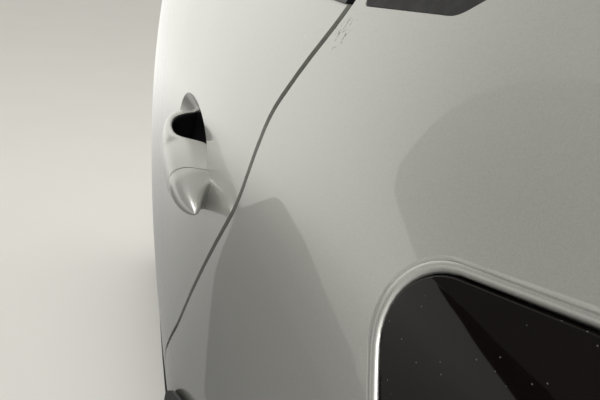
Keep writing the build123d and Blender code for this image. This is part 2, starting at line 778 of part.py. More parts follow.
pull_y = surface_y(armrest_x, armrest_z, trim_face + armrest_reach / 2)
with BuildPart() as door_armrest:
    add(folded_wall(trim_face + fit, trim_face + armrest_reach))
    add(side_prism([
        (armrest_x - armrest_length / 2, armrest_z - 30, 12),
        (armrest_x - armrest_length / 2, armrest_z + 34, 12),
        (armrest_x + armrest_length / 2, armrest_z + 46, 16),
        (armrest_x + armrest_length / 2, armrest_z - 10, 20),
    ]), mode=Mode.INTERSECT)
    add(
        box_between(
            (armrest_x - pull_length / 2, pull_y - 16, armrest_z + 6),
            (armrest_x + pull_length / 2, pull_y + 16, armrest_z + 80),
        ),
        mode=Mode.SUBTRACT,
    )
door_armrest.part.label = "door_armrest"
export_step(door_armrest.part, "parts/door_armrest.step")

# Handle: fixed rear cap and pull strap, cut from one bow over the dish
with BuildPart() as handle_bow:
    with BuildSketch(handle_plan):
        with BuildLine():
            TangentArc(bow_top, (handle_length, 8), tangent=(1, 0))
            TangentArc(bow_top, (0, tip_reach), tangent=(-1, 0))
            Polyline((0, tip_reach), (0, -20), (handle_length, -20), (handle_length, 8))
        make_face()
    extrude(amount=30, both=True)
    with BuildSketch(handle_side):
        with BuildLine():
            FilletPolyline(
                *[(s, h) for s, h, radius in handle_outline],
                radius=[radius for s, h, radius in handle_outline],
                close=True,
            )
        make_face()
    extrude(amount=80, both=True, mode=Mode.INTERSECT)
with BuildPart() as finger_room:
    with BuildSketch(handle_plan):
        with BuildLine():
            ThreePointArc((finger_start, 5), (bow_top[0], bow_top[1] - strap_t), (finger_end, 5))
            Polyline((finger_end, 5), (finger_end, -25), (finger_start, -25), (finger_start, 5))
        make_face()
    extrude(amount=30, both=True)


def handle_piece(start, end):
    """Stretch of the handle between two places along it."""
    with BuildPart() as piece:
        add(handle_bow.part)
        add(finger_room.part, mode=Mode.SUBTRACT)
        add(smooth_wall(-fit, outer_t), mode=Mode.SUBTRACT)
        with BuildSketch(handle_plan):
            with BuildLine():
                Polyline((start, -60), (end, -60), (end, 90), (start, 90), close=True)
            make_face()
        extrude(amount=60, both=True, mode=Mode.INTERSECT)
    return piece.part


handle_cap = handle_piece(-20, cap_length)
handle_cap.label = "handle_cap"
export_step(handle_cap, "parts/handle_cap.step")
handle_strap = handle_piece(cap_length + handle_split, handle_length + 20)
handle_strap.label = "handle_strap"
export_step(handle_strap, "parts/handle_strap.step")

# Hinges: a bracket on the pillar holds the pin between two ears, a leaf on the door turns on it
half_leaf = leaf_h / 2
hinge_y = round(surface_y(hinge_x, hinge_heights[0], hinge_depth), 2)
for hinge_name, hinge_z in zip(("lower", "upper"), hinge_heights):
    face_y = surface_y(hinge_x, hinge_z, pillar_depth)
    with BuildPart() as pillar_leaf:
        add(box_between(
            (hinge_x - leaf_reach, face_y - leaf_t, hinge_z - half_leaf),
            (pillar_rear_x - 2, face_y + 8, hinge_z + half_leaf),
        ))
        for side in (-1, 1):
            ear_z = hinge_z + side * (knuckle_h / 2 + fit + ear_t / 2)
            add(box_between(
                (hinge_x - knuckle_r, hinge_y, ear_z - ear_t / 2),
                (pillar_rear_x - 2, face_y + 8, ear_z + ear_t / 2),
            ))
            add(upright(hinge_x, hinge_y, ear_z, knuckle_r, ear_t))
        add(folded_wall(pillar_depth - fit, pillar_depth + 20), mode=Mode.SUBTRACT)
        add(upright(hinge_x, hinge_y, hinge_z, pin_r, knuckle_h + 2 * ear_t + 6))
    pillar_leaf.part.label = f"hinge_{hinge_name}_pillar"
    export_step(pillar_leaf.part, f"parts/hinge_{hinge_name}_pillar.step")
    with BuildPart() as door_leaf:
        add(box_between(
            (shut_face_x - fit - leaf_t, hinge_y - 10, hinge_z - half_leaf),
            (shut_face_x - fit, face_y + 6, hinge_z + half_leaf),
        ))
        add(box_between(
            (hinge_x - knuckle_r, hinge_y - knuckle_r, hinge_z - knuckle_h / 2),
            (shut_face_x - leaf_t, hinge_y + knuckle_r, hinge_z + knuckle_h / 2),
        ))
        add(upright(hinge_x, hinge_y, hinge_z, pin_r + fit / 2, knuckle_h + 2), mode=Mode.SUBTRACT)
    door_leaf.part.label = f"hinge_{hinge_name}_door"
    export_step(door_leaf.part, f"parts/hinge_{hinge_name}_door.step")
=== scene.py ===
import math
import bpy
import bmesh
from mathutils import Matrix, Vector
from mathutils.bvhtree import BVHTree


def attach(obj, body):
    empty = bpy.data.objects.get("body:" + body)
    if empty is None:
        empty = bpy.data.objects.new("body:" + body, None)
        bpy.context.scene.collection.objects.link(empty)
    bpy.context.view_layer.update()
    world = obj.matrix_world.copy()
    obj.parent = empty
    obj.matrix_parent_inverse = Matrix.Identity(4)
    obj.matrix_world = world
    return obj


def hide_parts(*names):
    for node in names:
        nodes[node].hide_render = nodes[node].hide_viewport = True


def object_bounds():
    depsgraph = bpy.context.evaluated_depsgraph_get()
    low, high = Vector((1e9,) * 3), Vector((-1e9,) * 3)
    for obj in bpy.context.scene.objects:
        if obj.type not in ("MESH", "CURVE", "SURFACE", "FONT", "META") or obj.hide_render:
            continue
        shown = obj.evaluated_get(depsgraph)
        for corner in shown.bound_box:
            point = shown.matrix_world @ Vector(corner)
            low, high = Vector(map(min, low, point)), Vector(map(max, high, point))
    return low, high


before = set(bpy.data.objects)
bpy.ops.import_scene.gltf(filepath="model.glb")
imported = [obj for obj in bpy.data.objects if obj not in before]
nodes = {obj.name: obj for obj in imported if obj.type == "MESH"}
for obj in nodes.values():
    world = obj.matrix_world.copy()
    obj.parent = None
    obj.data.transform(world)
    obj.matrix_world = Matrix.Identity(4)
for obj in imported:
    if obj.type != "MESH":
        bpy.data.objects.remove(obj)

cad_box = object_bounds()
scene = bpy.context.scene

# Camera
# Held close to the panel beside the tail lamp, looking forward and down along the side, and tipped a
# little to one side, as a camera in the hand is.
eye = Vector((0.9435, -0.2050, 0.7650))
yaw = math.radians(19.685)
pitch = math.radians(26.61)
roll = math.radians(9.032)
forward = Vector((-math.cos(pitch) * math.cos(yaw), math.cos(pitch) * math.sin(yaw), -math.sin(pitch)))
level_right = Vector((math.sin(yaw), math.cos(yaw), 0))
level_up = level_right.cross(forward)
right = math.cos(roll) * level_right + math.sin(roll) * level_up
upright = math.cos(roll) * level_up - math.sin(roll) * level_right
camera = bpy.data.objects.new("camera", bpy.data.cameras.new("camera"))
scene.collection.objects.link(camera)
camera.matrix_world = Matrix.Translation(eye) @ Matrix((right, upright, -forward)).transposed().to_4x4()
camera.data.lens = 29.717
camera.data.sensor_width = 36
camera.data.clip_start = 0.005
scene.camera = camera


# Inner shell: sill, centre pillar, inner quarter panel and door frame
# Pressings of zinc-coated sheet steel, spot-welded along their flanges and then sprayed with a thin
# base coat that gets little lacquer on the inside.
def linear(code):
    """Linear colour of an sRGB hex code."""
    parts = [int(code[i:i + 2], 16) / 255 for i in (0, 2, 4)]
    return (*[c / 12.92 if c <= 0.04045 else ((c + 0.055) / 1.055) ** 2.4 for c in parts], 1)


def add(tree, kind, sockets=None, **settings):
    """Adds a shader node with its settings, and sets or links its inputs by name or number."""
    node = tree.nodes.new("ShaderNode" + kind)
    for name, value in settings.items():
        setattr(node, name, value)
    for name, value in (sockets or {}).items():
        if isinstance(value, bpy.types.NodeSocket):
            tree.links.new(value, node.inputs[name])
        else:
            node.inputs[name].default_value = value
    return node


def finish_named(name):
    """A new material with its tree, its shader and the place in the part, in metres."""
    material = bpy.data.materials.new(name)
    material.use_nodes = True
    tree = material.node_tree
    shader = tree.nodes["Principled BSDF"]
    place = add(tree, "TexCoord").outputs["Object"]
    return material, tree, shader, place


def clothe(names, material):
    """Gives pieces of the frame their material."""
    for name in names:
        nodes[name].data.materials.clear()
        nodes[name].data.materials.append(material)


cloud_mm = 70
spray_mm = 1.6            # real dry spray is about 0.1 mm, too fine to show

# A flat, dusty silver, with faint clouds where the spray overlaps and a dry grain in place of a mirror
base_coat, tree, shader, place = finish_named("sprayed base coat on zinc-coated steel")
clouds = add(tree, "TexNoise", {"Vector": place, "Scale": 1000 / cloud_mm, "Detail": 4})
tone = add(tree, "ValToRGB", {"Fac": clouds.outputs["Fac"]})
for stop, spot, code in zip(tone.color_ramp.elements, (0.3, 0.7), ("8E8D89", "A6A5A0")):
    stop.position = spot
    stop.color = linear(code)
spray = add(tree, "TexNoise", {"Vector": place, "Scale": 1000 / spray_mm, "Detail": 2})
dry_grain = add(tree, "Bump", {"Height": spray.outputs["Fac"], "Strength": 0.25, "Distance": 0.00015})
rough = add(tree, "MapRange", {"Value": clouds.outputs["Fac"], "To Min": 0.38, "To Max": 0.55})
tree.links.new(tone.outputs["Color"], shader.inputs["Base Color"])
tree.links.new(rough.outputs["Result"], shader.inputs["Roughness"])
tree.links.new(dry_grain.outputs["Normal"], shader.inputs["Normal"])
shader.inputs["Metallic"].default_value = 0.35
clothe(["sill", "centre_pillar", "quarter_inner", "door_frame"], base_coat)

# Outer panels: quarter panel, roof rail and door skin
# Pressings of deep-drawn sheet steel, welded or hemmed over the inner shell, then sprayed with a silver
# base coat and a clear lacquer. Dust lies on them, and one place beside the shut line is scuffed.
flake_mm = 0.35           # real flake is about 0.03 mm, too fine to show
sweep_mm = 260            # from one pass of the spray gun to the next
orange_peel_mm = 5
dust_apart_mm = 40
dust_core_mm = 0.4        # real grains are about 0.1 mm, too fine to show
dust_edge_mm = 0.68
scuff_at = (0.7062, 0.7330)   # x and z in metres
scuff_reach = 0.014
scuff_core = 0.4          # share of its reach that is scuffed all over
stroke_mm = (1.3, 3, 4.5)     # across the stroke, into the panel, along the stroke
stroke_lean = math.radians(25)

# Aluminium flake under clear lacquer: a bright cool grey with a fine sparkle, whose sharp
# reflections ripple a little with the orange peel. The scuff is darker and matt, the dust pale.
silver, tree, shader, place = finish_named("silver metallic lacquer on steel")
flakes = add(tree, "TexVoronoi", {"Vector": place, "Scale": 1000 / flake_mm})
flake_tone = add(tree, "MapRange", {"Value": flakes.outputs["Color"], "To Min": 0.93, "To Max": 1.07})
sweep = add(tree, "TexNoise", {"Vector": place, "Scale": 1000 / sweep_mm, "Detail": 1})
sweep_tone = add(tree, "ValToRGB", {"Fac": sweep.outputs["Fac"]})
for stop, spot, code in zip(sweep_tone.color_ramp.elements, (0.35, 0.65), ("BEBEB9", "C5C5BF")):
    stop.position = spot
    stop.color = linear(code)
flaked = add(tree, "VectorMath", {0: sweep_tone.outputs["Color"], "Scale": flake_tone.outputs["Result"]},
             operation="SCALE")
where = add(tree, "SeparateXYZ", {0: place})
aside = add(tree, "Math", {0: where.outputs["X"], 1: scuff_at[0]}, operation="SUBTRACT")
above = add(tree, "Math", {0: where.outputs["Z"], 1: scuff_at[1]}, operation="SUBTRACT")
off = add(tree, "CombineXYZ", {"X": aside.outputs[0], "Z": above.outputs[0]})
away = add(tree, "VectorMath", {0: off.outputs[0]}, operation="LENGTH")
near = add(tree, "MapRange", {"Value": away.outputs["Value"], "From Min": scuff_reach * scuff_core,
                              "From Max": scuff_reach, "To Min": 0.2, "To Max": 0})
drawn = add(tree, "Mapping", {"Vector": place, "Rotation": (0, stroke_lean, 0),
                              "Scale": [1000 / size for size in stroke_mm]})
strokes = add(tree, "TexNoise", {"Vector": drawn.outputs[0], "Scale": 1, "Detail": 3, "Roughness": 0.6})
marked = add(tree, "Math", {0: strokes.outputs["Fac"], 1: near.outputs["Result"]}, operation="ADD")
scuffed = add(tree, "MapRange", {"Value": marked.outputs[0], "From Min": 0.76, "From Max": 0.84})
rubbed = add(tree, "Mix", {0: scuffed.outputs["Result"], 6: flaked.outputs["Vector"], 7: linear("6F6F6C")},
             data_type="RGBA")
worn_rough = add(tree, "MapRange", {"Value": scuffed.outputs["Result"], "To Min": 0.36, "To Max": 0.7})
grains = add(tree, "TexVoronoi", {"Vector": place, "Scale": 1000 / dust_apart_mm})
grain_at = add(tree, "MapRange", {"Value": grains.outputs["Distance"],
                                  "From Min": dust_core_mm / dust_apart_mm,
                                  "From Max": dust_edge_mm / dust_apart_mm, "To Min": 0.8, "To Max": 0})
dusted = add(tree, "Mix", {0: grain_at.outputs["Result"], 6: rubbed.outputs[2], 7: linear("E9E8E4")},
             data_type="RGBA")
tree.links.new(dusted.outputs[2], shader.inputs["Base Color"])
tree.links.new(worn_rough.outputs["Result"], shader.inputs["Roughness"])
ripple = add(tree, "TexNoise", {"Vector": place, "Scale": 1000 / orange_peel_mm, "Detail": 1})
orange_peel = add(tree, "Bump", {"Height": ripple.outputs["Fac"], "Strength": 0.12, "Distance": 0.00004})
tree.links.new(orange_peel.outputs["Normal"], shader.inputs["Coat Normal"])
shader.inputs["Metallic"].default_value = 0.7
shader.inputs["Coat Weight"].default_value = 1
shader.inputs["Coat Roughness"].default_value = 0.03
shader.inputs["Coat IOR"].default_value = 1.7
clothe(["quarter_panel", "roof_rail", "door_skin"], silver)

# Cladding of the sill and the wheel opening
# Injection-moulded polypropylene, black right through, clipped on over the painted panels. The tub
# behind the tail lamp's lens is moulded from the same plastic.
moulded_grain_mm = 0.9
road_dust_mm = 90

# Matt black with a fine leather-like grain that breaks up every highlight, greyed in patches by dust
black_moulding, tree, shader, place = finish_named("grained black polypropylene")
grain = add(tree, "TexVoronoi", {"Vector": place, "Scale": 1000 / moulded_grain_mm},
            feature="DISTANCE_TO_EDGE")
relief = add(tree, "Bump", {"Height": grain.outputs["Distance"], "Strength": 0.5, "Distance": 0.0001})
dust = add(tree, "TexNoise", {"Vector": place, "Scale": 1000 / road_dust_mm, "Detail": 5})
dusty = add(tree, "ValToRGB", {"Fac": dust.outputs["Fac"]})
for stop, spot, code in zip(dusty.color_ramp.elements, (0.45, 0.8), ("26272A", "3B3B39")):
    stop.position = spot
    stop.color = linear(code)
tree.links.new(dusty.outputs["Color"], shader.inputs["Base Color"])
tree.links.new(relief.outputs["Normal"], shader.inputs["Normal"])
shader.inputs["Roughness"].default_value = 0.62
clothe(["sill_cladding", "arch_cladding", "tail_lamp_housing"], black_moulding)

# Wheelhouse liner
# Needled polyester felt pressed over a moulded shell, pushed up into the arch and clipped behind the
# return of the cladding.
tuft_mm = 2.5             # real fibres are about 0.03 mm, too fine to show

# Black with no shine at all, and a coarse fibrous face in lighter and darker tufts
felt, tree, shader, place = finish_named("needled black felt")
fibres = add(tree, "TexNoise", {"Vector": place, "Scale": 1000 / tuft_mm, "Detail": 6, "Roughness": 0.75})
nap = add(tree, "Bump", {"Height": fibres.outputs["Fac"], "Strength": 0.7, "Distance": 0.0008})
shade = add(tree, "ValToRGB", {"Fac": fibres.outputs["Fac"]})
for stop, spot, code in zip(shade.color_ramp.elements, (0.3, 0.75), ("191A1B", "323232")):
    stop.position = spot
    stop.color = linear(code)
tree.links.new(shade.outputs["Color"], shader.inputs["Base Color"])
tree.links.new(nap.outputs["Normal"], shader.inputs["Normal"])
shader.inputs["Roughness"].default_value = 0.92
clothe(["wheelhouse"], felt)

# Window glass
# Tempered safety glass, 4 mm thick and tinted right through. The quarter window is bonded in, and the
# door's pane slides in the channels of the door frame.
haze_mm = 120

# Smooth, with sharp reflections over a grey that can be seen through, and a faint film of haze
tinted_glass, tree, shader, place = finish_named("tinted safety glass")
film = add(tree, "TexNoise", {"Vector": place, "Scale": 1000 / haze_mm, "Detail": 3})
hazy = add(tree, "MapRange", {"Value": film.outputs["Fac"], "To Min": 0.01, "To Max": 0.05})
tree.links.new(hazy.outputs["Result"], shader.inputs["Roughness"])
shader.inputs["Base Color"].default_value = linear("5A5E5A")
shader.inputs["Transmission Weight"].default_value = 0.85
shader.inputs["IOR"].default_value = 1.52
clothe(["quarter_glass", "door_glass"], tinted_glass)

# Rubber: window seal and door seals
# Extruded EPDM, bonded round the quarter window, pressed onto the flange of the door opening and
# clipped round the door frame.
chalk_mm = 6

# Soft black with a dull sheen, and a little grey chalk where it has dried out
rubber, tree, shader, place = finish_named("extruded black rubber")
chalk = add(tree, "TexNoise", {"Vector": place, "Scale": 1000 / chalk_mm, "Detail": 4})
chalky = add(tree, "ValToRGB", {"Fac": chalk.outputs["Fac"]})
for stop, spot, code in zip(chalky.color_ramp.elements, (0.4, 0.85), ("1C1C1C", "343433")):
    stop.position = spot
    stop.color = linear(code)
dried_skin = add(tree, "Bump", {"Height": chalk.outputs["Fac"], "Strength": 0.3, "Distance": 0.0002})
tree.links.new(chalky.outputs["Color"], shader.inputs["Base Color"])
tree.links.new(dried_skin.outputs["Normal"], shader.inputs["Normal"])
shader.inputs["Roughness"].default_value = 0.6
clothe(["quarter_glass_seal", "opening_seal", "door_seal"], rubber)

# Tail lamp
# A smoked acrylic lens, welded to a black tub with a dark red reflector inside and set into an opening
# of the quarter panel, whose edge is rolled inwards all round the lens.
grit_apart_mm = 4
grit_core_mm = 0.12       # real grit is about 0.05 mm, too fine to show
grit_edge_mm = 0.28

# Almost black and as glossy as glass, with clean reflections and a few pale specks of grit
smoked_acrylic, tree, shader, place = finish_named("smoked acrylic")
grit = add(tree, "TexVoronoi", {"Vector": place, "Scale": 1000 / grit_apart_mm})
speck = add(tree, "MapRange", {"Value": grit.outputs["Distance"],
                               "From Min": grit_core_mm / grit_apart_mm,
                               "From Max": grit_edge_mm / grit_apart_mm, "To Min": 1, "To Max": 0})
tint = add(tree, "Mix", {0: speck.outputs["Result"], 6: linear("0A0605"), 7: linear("5E5B58")},
           data_type="RGBA")
tree.links.new(tint.outputs[2], shader.inputs["Base Color"])
shader.inputs["Roughness"].default_value = 0.03
shader.inputs["IOR"].default_value = 1.49
shader.inputs["Specular IOR Level"].default_value = 0.36
clothe(["tail_lamp_lens"], smoked_acrylic)

# The lens's edge is rounded a little, as a moulding's is. Its faces come with corners of their own,
# so these are welded first.
lens_edge_mm = 0.6
lens = nodes["tail_lamp_lens"]
welded = lens.modifiers.new("weld", "WELD")
welded.merge_threshold = 0.00002
rounded = lens.modifiers.new("roll", "BEVEL")
rounded.width = lens_edge_mm / 1000
rounded.segments = 2
rounded.limit_method = "ANGLE"
rounded.angle_limit = math.radians(38)
evened = lens.modifiers.new("even", "WEIGHTED_NORMAL")
evened.weight = 80

face_trees = {}           # of the pieces of the frame that lines have been drawn to


def face_hit(name, start, way):
    """Where a straight line meets a piece of the frame, and the piece's normal there."""
    if name not in face_trees:
        mesh = nodes[name].data
        face_trees[name] = BVHTree.FromPolygons(
            [v.co for v in mesh.vertices], [p.vertices[:] for p in mesh.polygons])
    return face_trees[name].ray_cast(Vector(start), Vector(way))[:2]


lamp_middle = Vector((0.95, 0, 0.63))
across_car = Vector((0, 1, 0))
opening_degrees = range(34, 328, 2)   # round the lamp's middle, where the quarter panel borders on it
opening_reach = (0.02, 0.30)          # m from the lamp's middle, nearer and further than the border
border_within = 0.00002
onto_panel = 0.006
roll_r = 0.0026
roll_proud = -0.0005      # of the roll's middle, from the opening's wall
roll_sunk = 0.0027        # of the roll's middle, under the panel
rim_line = []
for degrees in opening_degrees:
    turned = Vector((math.cos(math.radians(degrees)), 0, math.sin(math.radians(degrees))))
    in_opening, on_panel = opening_reach
    while on_panel - in_opening > border_within:
        middle = (in_opening + on_panel) / 2
        if face_hit("quarter_panel", lamp_middle + turned * middle - across_car, across_car)[0]:
            on_panel = middle
        else:
            in_opening = middle
    border = lamp_middle + turned * on_panel
    behind_border = lamp_middle + turned * (on_panel + onto_panel)
    outside = face_hit("quarter_panel", behind_border - across_car, across_car)[0]
    if outside:
        rim_line.append(Vector((border.x, outside.y, border.z)))
rim = bpy.data.objects.new("lamp_opening_roll", bpy.data.curves.new("lamp_opening_roll", "CURVE"))
rim.data.dimensions = "3D"
rim.data.bevel_depth = roll_r
rim.data.bevel_resolution = 4
rim.data.use_fill_caps = True
rim_spline = rim.data.splines.new("POLY")
rim_spline.points.add(len(rim_line) - 3)
for point, before, at, after in zip(rim_spline.points, rim_line, rim_line[1:], rim_line[2:]):
    inward = (after - before).cross(across_car).normalized()
    if inward.dot(lamp_middle - at) < 0:
        inward.negate()
    point.co = (*(at + inward * roll_proud + across_car * roll_sunk), 1)
scene.collection.objects.link(rim)
rim.data.materials.append(silver)
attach(rim, "body_side")

prism_mm = 3

# Deep red moulded in small square prisms, which glint one by one as the light moves
red_acrylic, tree, shader, place = finish_named("dark red reflector acrylic")
prisms = add(tree, "TexVoronoi", {"Vector": place, "Scale": 1000 / prism_mm}, distance="CHEBYCHEV")
facets = add(tree, "Bump", {"Height": prisms.outputs["Distance"], "Strength": 0.8, "Distance": 0.001})
tree.links.new(facets.outputs["Normal"], shader.inputs["Normal"])
shader.inputs["Base Color"].default_value = linear("5A1216")
shader.inputs["Roughness"].default_value = 0.15
clothe(["tail_lamp_reflector"], red_acrylic)

# Hinges, striker and latch
# Forged and pressed steel, zinc-plated. The hinges are bolted to the pillar and to the door frame, the
# striker is screwed to the rear of the door opening and the latch to the rear end of the door.
spangle_mm = 3

# A cool satin grey with soft highlights, mottled a little where grease and handling have dulled it
zinc, tree, shader, place = finish_named("zinc-plated steel")
spangle = add(tree, "TexNoise", {"Vector": place, "Scale": 1000 / spangle_mm, "Detail": 6})
plated = add(tree, "ValToRGB", {"Fac": spangle.outputs["Fac"]})
for stop, spot, code in zip(plated.color_ramp.elements, (0.3, 0.75), ("8B8E90", "B9BBBA")):
    stop.position = spot
    stop.color = linear(code)
tree.links.new(plated.outputs["Color"], shader.inputs["Base Color"])
shader.inputs["Metallic"].default_value = 1
shader.inputs["Roughness"].default_value = 0.36
clothe(["striker", "door_latch", "hinge_lower_pillar", "hinge_upper_pillar", "hinge_lower_door",
        "hinge_upper_door"], zinc)

# Moulding at the door's window line
# An injection-moulded strip of black ABS from a polished tool, clipped onto the door along the foot of
# its window.
swirl_mm = 15

# Black and glossy, with highlights that washing has made slightly uneven
gloss_abs, tree, shader, place = finish_named("gloss black ABS")
swirls = add(tree, "TexNoise", {"Vector": place, "Scale": 1000 / swirl_mm, "Detail": 5})
worn = add(tree, "MapRange", {"Value": swirls.outputs["Fac"], "To Min": 0.08, "To Max": 0.2})
tree.links.new(worn.outputs["Result"], shader.inputs["Roughness"])
shader.inputs["Base Color"].default_value = linear("17181A")
clothe(["belt_moulding"], gloss_abs)

# Door trim and armrest
# Injection-moulded polypropylene in charcoal, pushed onto the inside of the door frame with studs. The
# armrest is a moulding of its own, screwed on.
trim_grain_mm = 1.1

# Dark grey and matt, with a fine leather grain that keeps it from shining
charcoal, tree, shader, place = finish_named("grained charcoal trim")
grain = add(tree, "TexVoronoi", {"Vector": place, "Scale": 1000 / trim_grain_mm},
            feature="DISTANCE_TO_EDGE")
relief = add(tree, "Bump", {"Height": grain.outputs["Distance"], "Strength": 0.45, "Distance": 0.00012})
tree.links.new(relief.outputs["Normal"], shader.inputs["Normal"])
shader.inputs["Base Color"].default_value = linear("37383B")
shader.inputs["Roughness"].default_value = 0.6
clothe(["door_trim", "door_armrest"], charcoal)

# Pull handle
# Two ABS mouldings painted in the body's silver, screwed on from inside over a pressed dish: a fixed
# rear cap that ends in a beak, and a pull strap that bows over the fingers. A black cup lines the dish
# under the strap; its black is partly painted shade, standing in for the deep shade of the finger hole.
handle_foot = Vector((0.615, -0.15713, 0.586))              # under the beak, on the door skin
handle_along = Vector((-0.998047, -0.055083, 0.029454))     # forwards, along the skin
handle_out = Vector((0.058227, -0.991129, 0.119471))
handle_up = Vector((0.022612, 0.120953, 0.992401))
cap_rows = [              # mm along, inner height, outer height, half width, lean of the row
    (-14.5, 13.2, 14.2, 0.8, 0), (-12, 11.2, 16.2, 3.0, 0), (-7, 8.6, 19.5, 6.0, 0),
    (2, 5.8, 23.5, 9.5, 0), (12, 2.8, 26.0, 12.2, 0), (19, -3.0, 27.4, 14.2, 0.08),
    (24, -10.0, 28.0, 15.3, 0.14), (29.0, -12.0, 28.3, 15.9, 0.2),
]
strap_rows = [
    (29.9, -12.0, 28.2, 15.9, 0.2), (40, -12.0, 28.6, 16.7, 0.12),
    (52, -12.0, 28.9, 17.5, 0), (64, -12.0, 29.0, 18.0, 0), (74, -12.0, 28.9, 18.2, 0),
    (79, -8.0, 28.7, 18.2, 0), (82.5, 3.0, 28.5, 18.0, 0), (88, 12.0, 28.2, 17.6, 0),
    (98, 16.0, 27.8, 17.0, 0), (112, 16.8, 26.8, 16.4, 0), (126, 14.6, 25.0, 16.2, 0),
    (138, 10.0, 22.6, 16.4, 0), (148, 2.0, 19.6, 16.8, 0), (155, -7.0, 17.0, 16.6, 0),
    (163, -13.0, 13.2, 15.4, 0), (171, -15.0, 8.6, 13.0, 0), (178, -15.0, 3.0, 9.8, 0),
    (183, -15.0, -3.0, 6.0, 0),
]
ring_steps = 24
lean_height = 14          # mm over the skin, where a leaning row crosses its place along
seated_under = 4          # mm over the skin; a row that reaches lower stands square in the dish
foot_squareness = 9.0


def handle_place(along, height, across):
    """Point of the handle, in mm along it, out from the skin and upwards."""
    return handle_foot + (handle_along * along + handle_out * height + handle_up * across) / 1000


def made_piece(name, net, material):
    """A new piece of the scene from a finished net of faces."""
    piece = bpy.data.objects.new(name, bpy.data.meshes.new(name))
    net.to_mesh(piece.data)
    net.free()
    scene.collection.objects.link(piece)
    piece.data.materials.append(material)
    return piece


def handle_shell(name, rows, node, split_row, crown_squareness):
    """Closed skin over one part of the handle, lofted through its rows, with square feet and a crisp
    edge where the two parts meet."""
    net = bmesh.new()
    rings = []
    for along, low, high, half, lean in rows:
        ring = []
        for step in range(ring_steps):
            turn = 2 * math.pi * step / ring_steps
            in_dish = math.cos(turn) < 0 and low < seated_under
            squareness = foot_squareness if in_dish else crown_squareness
            tall = math.copysign(abs(math.cos(turn)) ** (2 / squareness), math.cos(turn))
            wide = math.copysign(abs(math.sin(turn)) ** (2 / squareness), math.sin(turn))
            height = (low + high) / 2 + tall * (high - low) / 2
            leant = along + lean * (height - lean_height)
            ring.append(net.verts.new(handle_place(leant, height, half * wide)))
        rings.append(ring)
    for first, second in zip(rings, rings[1:]):
        for i in range(ring_steps):
            net.faces.new((first[i - 1], first[i], second[i], second[i - 1]))
    net.faces.new(rings[0])
    net.faces.new(rings[-1])
    crease = net.edges.layers.float.new("crease_edge")
    for i in range(ring_steps):
        edge = net.edges.get((rings[split_row][i - 1], rings[split_row][i]))
        edge[crease] = 1
        edge.smooth = False
    bmesh.ops.recalc_face_normals(net, faces=net.faces)
    shell = made_piece(name, net, silver)
    shell.data.shade_smooth()
    smooth = shell.modifiers.new("smooth", "SUBSURF")
    smooth.levels = 2
    smooth.render_levels = 2
    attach(shell, "door")
    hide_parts(node)
    return shell


handle_shell("handle_cap_shell", cap_rows, "handle_cap", -1, 2.3)
strap_shell = handle_shell("handle_strap_shell", strap_rows, "handle_strap", 0, 2.8)

# The strap's face over the fingers is left in bare black, which is partly painted shade of the finger hole
grip_from = 0.07          # m along
grip_faces = -0.25        # or less, of a face's normal out from the skin
strap_shell.data.materials.append(gloss_abs)
for face in strap_shell.data.polygons:
    over_fingers = (face.center - handle_foot).dot(handle_along) > grip_from
    if face.normal.dot(handle_out) < grip_faces and over_fingers:
        face.material_index = 1

dish_middle = 112         # mm along; the dish in the door skin is part of a ring, bent along and across
dish_length_r = 190
dish_height_r = 52
cup_depth = 19            # mm under the skin, 1 mm less than the dish
cup_middle = 114
cup_half_length = 60
cup_half_width = 27
cup_steps = 48
cup_net = bmesh.new()
cup_rings = []
for share in (0, 0.25, 0.5, 0.7, 0.85, 0.95, 1):     # of the way from the cup's middle to its edge
    ring = []
    for step in range(1 if share == 0 else cup_steps):
        turn = 2 * math.pi * step / cup_steps
        along = cup_middle + cup_half_length * share * math.cos(turn)
        across = cup_half_width * share * math.sin(turn)
        reach = dish_length_r - dish_height_r + math.sqrt(dish_height_r ** 2 - across ** 2)
        height = dish_length_r - cup_depth - math.sqrt(reach ** 2 - (along - dish_middle) ** 2)
        ring.append(cup_net.verts.new(handle_place(along, height, across)))
    cup_rings.append(ring)
for inner, outer in zip(cup_rings, cup_rings[1:]):
    for i in range(cup_steps):
        corners = [inner[(i - 1) % len(inner)], inner[i % len(inner)], outer[i], outer[i - 1]]
        cup_net.faces.new(list(dict.fromkeys(corners)))
bmesh.ops.recalc_face_normals(cup_net, faces=cup_net.faces)

etch_mm = 0.8             # a real etched grain is about 0.1 mm, too fine to show

# Deep black and matt from a finely etched tool. The black is partly painted shade, darkening the dish
# behind the strap as the deep shade of the finger hole does.
black_cup_and_painted_shade, tree, shader, place = finish_named("moulded black polyamide with painted shade")
etched = add(tree, "TexNoise", {"Vector": place, "Scale": 1000 / etch_mm, "Detail": 3})
etch = add(tree, "Bump", {"Height": etched.outputs["Fac"], "Strength": 0.4, "Distance": 0.0001})
tree.links.new(etch.outputs["Normal"], shader.inputs["Normal"])
shader.inputs["Base Color"].default_value = linear("0D0D0F")
shader.inputs["Roughness"].default_value = 0.55
shader.inputs["Specular IOR Level"].default_value = 0.3
# The black cup is partly painted shade: it darkens the finger hole behind the strap
finger_cup_and_painted_shade = made_piece("finger_cup_and_painted_shade", cup_net, black_cup_and_painted_shade)
finger_cup_and_painted_shade.data.shade_smooth()
cup_wall = finger_cup_and_painted_shade.modifiers.new("wall", "SOLIDIFY")
cup_wall.thickness = 0.0006
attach(finger_cup_and_painted_shade, "door")


# Fixings: hinge bolts, striker screw, rubber plugs and cladding clips
# Zinc-plated flanged hexagon bolts and a socket screw, moulded rubber plugs pressed into holes of the
# inner panel, and black polypropylene push clips through the return of the cladding.
def face_point(name, start, way):
    """Where a straight line meets a piece of the frame, and which way the piece faces there."""
    at, normal = face_hit(name, start, way)
    return at, normal if normal.dot(Vector(way)) < 0 else -normal


def seated(at, facing):
    """Matrix that stands a form on a face."""
    return Matrix.Translation(at) @ facing.to_track_quat("Z", "Y").to_matrix().to_4x4()


